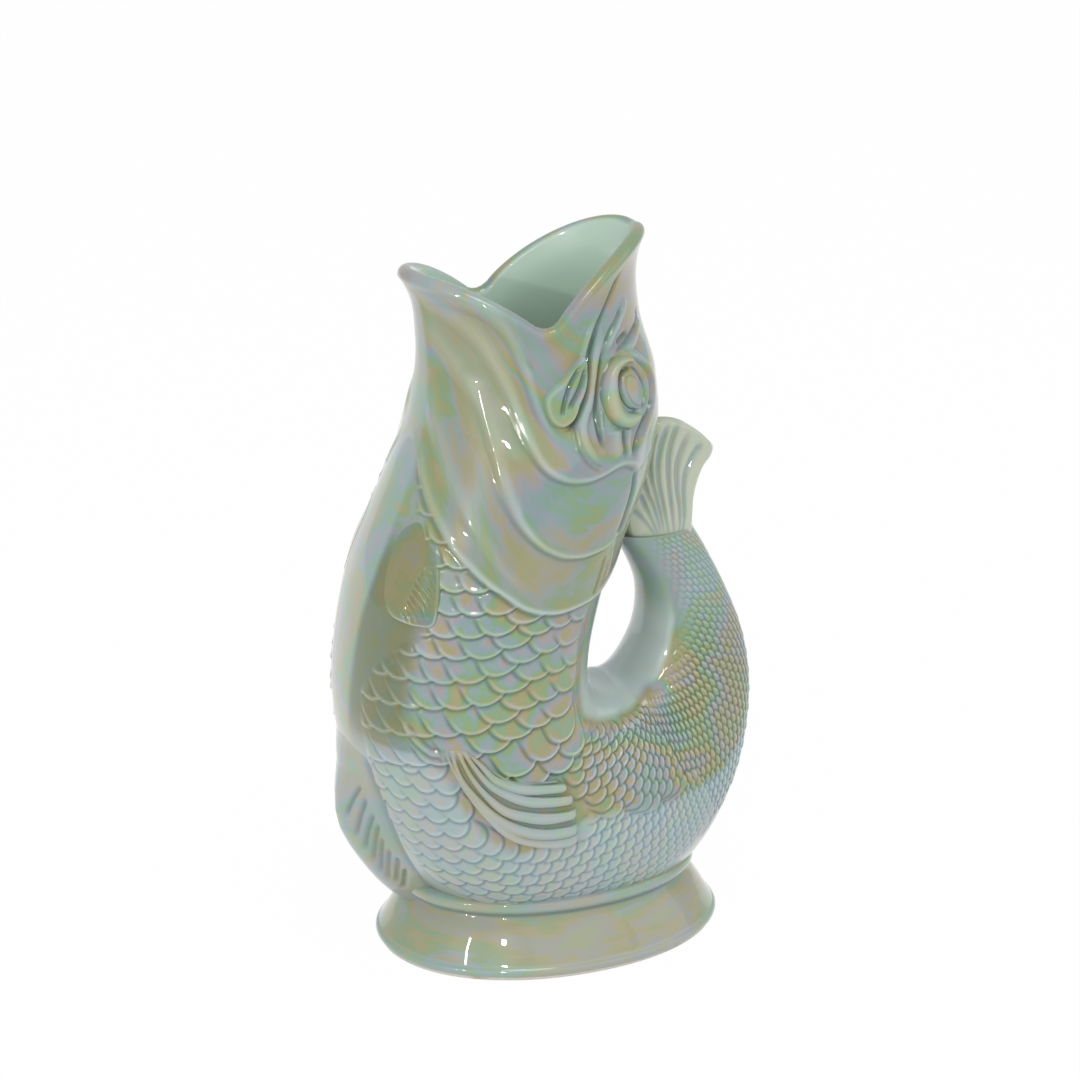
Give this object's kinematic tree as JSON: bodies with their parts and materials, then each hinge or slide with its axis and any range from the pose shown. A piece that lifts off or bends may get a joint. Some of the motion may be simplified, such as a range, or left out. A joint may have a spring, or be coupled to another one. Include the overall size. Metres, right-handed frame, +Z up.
{
  "type": "gurgle jug",
  "caption": "Glazed ceramic pouring jug cast as an upright fish: open mouth as the spout, hollow curled tail as the handle, oval pedestal foot.",
  "frame": {"origin": "centre of the foot's underside, on the table", "axes": "+Z up; -X towards the front lip and the belly, +X towards the tail handle; +Y across, to the fish's right"},
  "size_m": [0.1674, 0.1082, 0.2783],
  "materials": {
    "pearl_glaze": "gloss pearl",
    "bare_clay": "matt"
  },
  "bodies": {
    "root": {"foot": "pearl_glaze", "foot_ring": "bare_clay", "body_shell": "pearl_glaze", "head_shell": "pearl_glaze", "tail_handle": "pearl_glaze", "tail_fin": "pearl_glaze", "ventral_fin": "pearl_glaze", "anal_fin": "pearl_glaze", "pectoral_fin_left": "pearl_glaze", "pectoral_fin_right": "pearl_glaze", "pelvic_fin_left": "pearl_glaze", "pelvic_fin_right": "pearl_glaze", "eye_left": "pearl_glaze", "eye_right": "pearl_glaze", "cheek_left": "pearl_glaze", "cheek_right": "pearl_glaze"}
  },
  "joints": []
}
